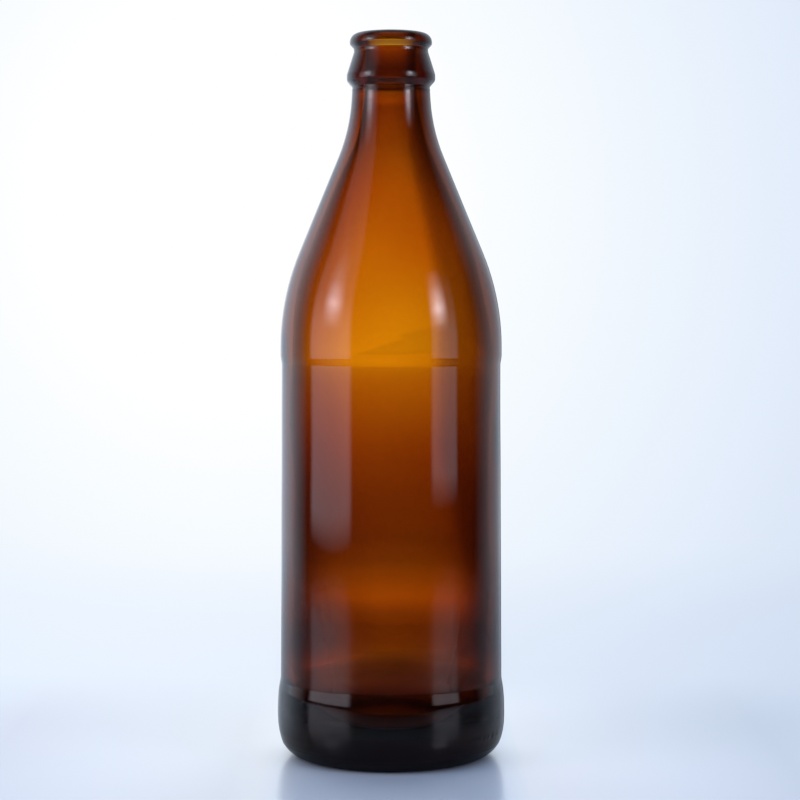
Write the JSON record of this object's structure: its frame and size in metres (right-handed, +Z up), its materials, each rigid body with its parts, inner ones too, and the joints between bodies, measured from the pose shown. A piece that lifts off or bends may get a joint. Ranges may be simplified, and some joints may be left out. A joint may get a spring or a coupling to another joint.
{
  "type": "glass bottle",
  "caption": "Amber glass bottle with a long neck, a crown finish, a recessed label panel, a proud heel band and a push-up base.",
  "frame": {"origin": "centre of the bearing ring, on the surface the bottle stands on", "axes": "+Z up along the bottle's axis to the mouth; X and Y are level and all round they are alike"},
  "size_m": [0.0742, 0.0742, 0.2343],
  "materials": {
    "amber_glass": "clear amber-brown container glass, fire-polished, faintly wavy"
  },
  "bodies": {
    "root": {"glass_bottle": "amber_glass"}
  },
  "joints": []
}
